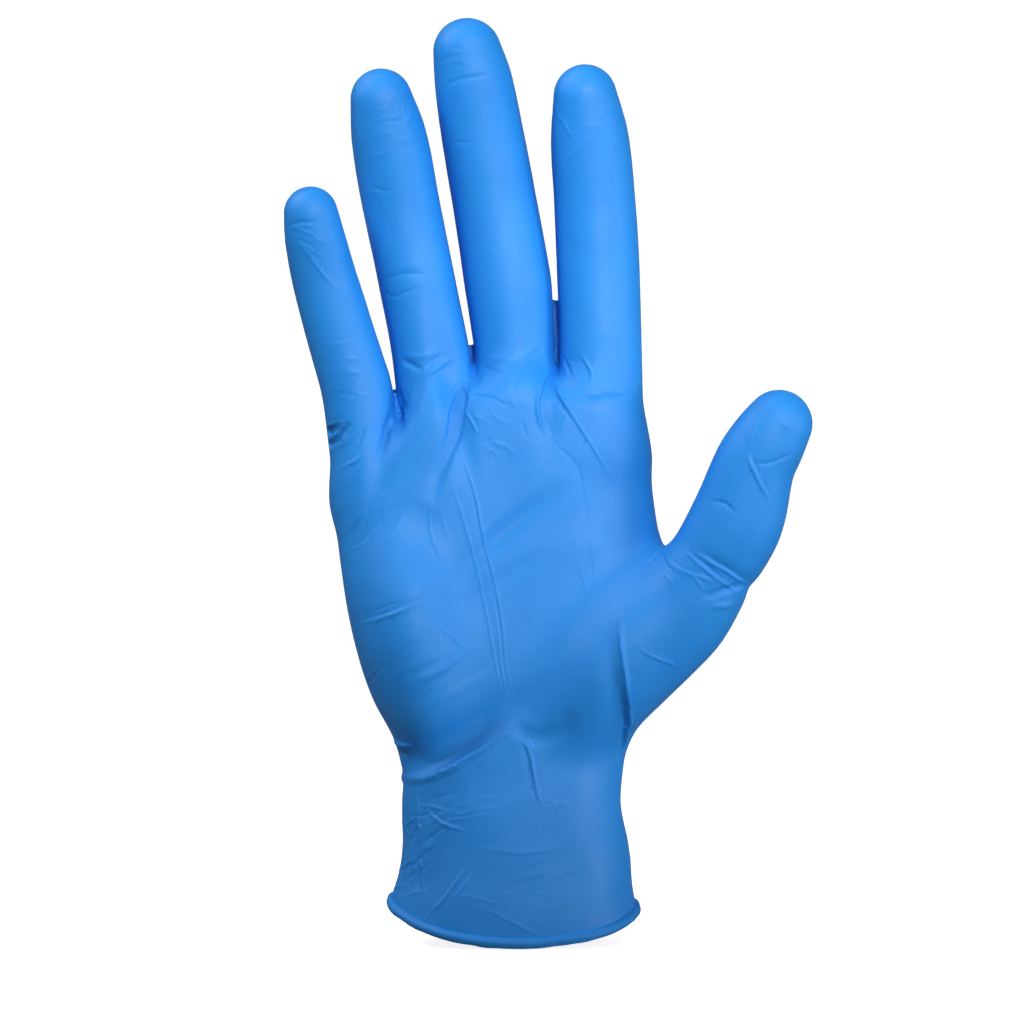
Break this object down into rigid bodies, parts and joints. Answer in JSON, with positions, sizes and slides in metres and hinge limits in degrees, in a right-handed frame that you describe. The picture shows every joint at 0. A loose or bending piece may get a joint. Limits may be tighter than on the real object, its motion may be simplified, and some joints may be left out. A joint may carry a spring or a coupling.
{
  "type": "examination glove",
  "caption": "Disposable nitrile examination glove standing open as it is worn, palm side forward, with a short cuff and a rolled rim",
  "frame": {"origin": "centre of the cuff's opening, at the mean height of the rim", "axes": "+Z from the cuff to the fingertips, +X towards the thumb, -Y out of the palm side"},
  "size_m": [0.1341, 0.0516, 0.2368],
  "materials": {
    "nitrile_film": "smooth satin blue nitrile film, slightly darker in its folds"
  },
  "bodies": {
    "root": {"glove": "nitrile_film"}
  },
  "joints": []
}
